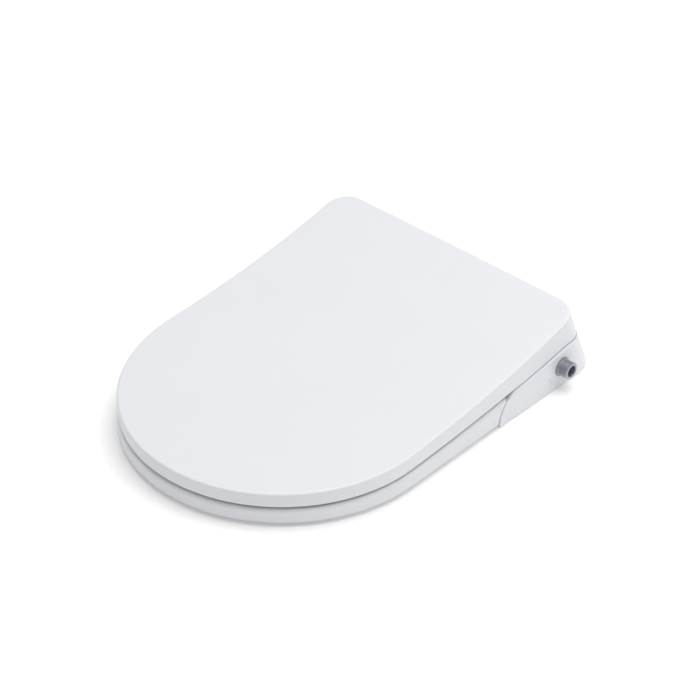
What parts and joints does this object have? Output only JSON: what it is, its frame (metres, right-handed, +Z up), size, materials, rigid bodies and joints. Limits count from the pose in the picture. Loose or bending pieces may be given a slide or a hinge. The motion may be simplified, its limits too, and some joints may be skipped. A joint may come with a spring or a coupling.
{
  "type": "electric bidet seat",
  "caption": "Slim D-shaped electric bidet seat with a soft-close lid and heated ring hinged on a low housing with nozzles, dryer and side water inlet.",
  "frame": {"origin": "middle of the two mounting slots, on the plane of the bowl rim", "axes": "+X towards the water inlet, +Y to the rear (hinge side), +Z up; the nose of the seat is at -Y"},
  "size_m": [0.3951, 0.5244, 0.0924],
  "materials": {
    "lid_white": "gloss",
    "seat_white": "gloss",
    "housing_white": "satin gloss",
    "button_white": "satin",
    "button_grey": "satin",
    "base_grey": "fine texture",
    "pale_rubber": "matte",
    "dark_rubber": "matte",
    "inlet_metal": "satin plated",
    "steel": "satin",
    "motor_metal": "plated sheet",
    "black_plastic": "matte",
    "valve_ivory": "satin",
    "hose_blue": "silicone",
    "heater_metal": "heat tinted",
    "foil_gold": "foil",
    "duct_grey": "matte",
    "board_green": "solder mask",
    "nozzle_white": "gloss",
    "panel_silver": "satin silver",
    "smoked_window": "smoked gloss",
    "light_lens": "frosted"
  },
  "bodies": {
    "root": {"air_pump": "black_plastic", "aux_panel": "panel_silver", "base_pads": "dark_rubber", "base_plate": "base_grey", "base_screws": "steel", "board_tray": "base_grey", "button_board": "board_green", "control_board": "board_green", "cord_gland": "dark_rubber", "diverter_motor": "motor_metal", "diverter_valve": "valve_ivory", "dryer_duct": "duct_grey", "dryer_grille": "housing_white", "dryer_heater": "heater_metal", "fan_housing": "black_plastic", "feed_hose": "hose_blue", "flow_sensor": "valve_ivory", "front_nozzle_motor": "motor_metal", "gland_plate": "housing_white", "heater_element": "heater_metal", "heater_tank": "valve_ivory", "housing_cover": "housing_white", "inlet_filter": "steel", "inlet_seal": "dark_rubber", "lid_damper": "black_plastic", "mounting_plate": "base_grey", "night_light": "light_lens", "nozzle_carrier": "base_grey", "nozzle_shield": "housing_white", "power_module": "black_plastic", "rear_nozzle_motor": "motor_metal", "seat_damper": "black_plastic", "sensor_window": "smoked_window", "solenoid_valve": "valve_ivory", "tank_cover": "valve_ivory", "warm_hose": "hose_blue", "water_inlet": "inlet_metal"},
    "seat": {"seat_top": "seat_white", "seat_bottom": "seat_white", "seat_heater": "foil_gold", "seat_bumpers": "pale_rubber", "seat_shaft": "steel"},
    "lid": {"lid_shell": "lid_white", "lid_bumpers": "pale_rubber", "lid_shaft": "steel"},
    "rear_nozzle": {"rear_nozzle": "nozzle_white", "rear_nozzle_tip": "steel"},
    "front_nozzle": {"front_nozzle": "nozzle_white", "front_nozzle_tip": "steel"},
    "rear_pinion": {"rear_pinion": "nozzle_white"},
    "front_pinion": {"front_pinion": "nozzle_white"},
    "fan_wheel": {"fan_wheel": "black_plastic"},
    "release_button": {"release_button": "housing_white"},
    "stop_button": {"stop_button": "button_grey"},
    "rear_wash_button": {"rear_wash_button": "button_white"},
    "front_wash_button": {"front_wash_button": "button_white"}
  },
  "joints": [
    {"name": "seat_hinge", "type": "hinge", "parent": "root", "child": "seat", "pos_m": [0, 0.044, 0.063], "axis": [-1, 0, 0], "range_deg": [0, 100]},
    {"name": "lid_hinge", "type": "hinge", "parent": "seat", "child": "lid", "pos_m": [0, 0.044, 0.063], "axis": [1, 0, 0], "range_deg": [-105, 0]},
    {"name": "rear_nozzle_slide", "type": "slide", "parent": "root", "child": "rear_nozzle", "axis": [0, -0.9659, -0.2588], "range_m": [0, 0.06]},
    {"name": "front_nozzle_slide", "type": "slide", "parent": "root", "child": "front_nozzle", "axis": [0, -0.9659, -0.2588], "range_m": [0, 0.06]},
    {"name": "rear_pinion_turn", "type": "hinge", "parent": "root", "child": "rear_pinion", "pos_m": [-0.009, -0.04739, 0.04354], "axis": [1, 0, 0], "range_deg": [-495, 5]},
    {"name": "front_pinion_turn", "type": "hinge", "parent": "root", "child": "front_pinion", "pos_m": [0.009, -0.04739, 0.04354], "axis": [1, 0, 0], "range_deg": [-495, 5]},
    {"name": "fan_spin", "type": "hinge", "parent": "root", "child": "fan_wheel", "pos_m": [-0.049, -0.015, 0.043], "axis": [1, 0, 0], "continuous": true},
    {"name": "release_press", "type": "slide", "parent": "root", "child": "release_button", "axis": [1, 0, 0], "range_m": [0, 0.004], "stiffness_N_per_m": 600, "springref_m": -0.001},
    {"name": "stop_press", "type": "slide", "parent": "root", "child": "stop_button", "axis": [1, 0, 0], "range_m": [0, 0.0015], "stiffness_N_per_m": 600, "springref_m": -0.001},
    {"name": "rear_wash_press", "type": "slide", "parent": "root", "child": "rear_wash_button", "axis": [1, 0, 0], "range_m": [0, 0.0015], "stiffness_N_per_m": 600, "springref_m": -0.001},
    {"name": "front_wash_press", "type": "slide", "parent": "root", "child": "front_wash_button", "axis": [1, 0, 0], "range_m": [0, 0.0015], "stiffness_N_per_m": 600, "springref_m": -0.001}
  ],
  "couplings": [
    {"joint": "rear_pinion_turn", "follows": "rear_nozzle_slide", "rad_per_m": -142.86},
    {"joint": "front_pinion_turn", "follows": "front_nozzle_slide", "rad_per_m": -142.86}
  ]
}
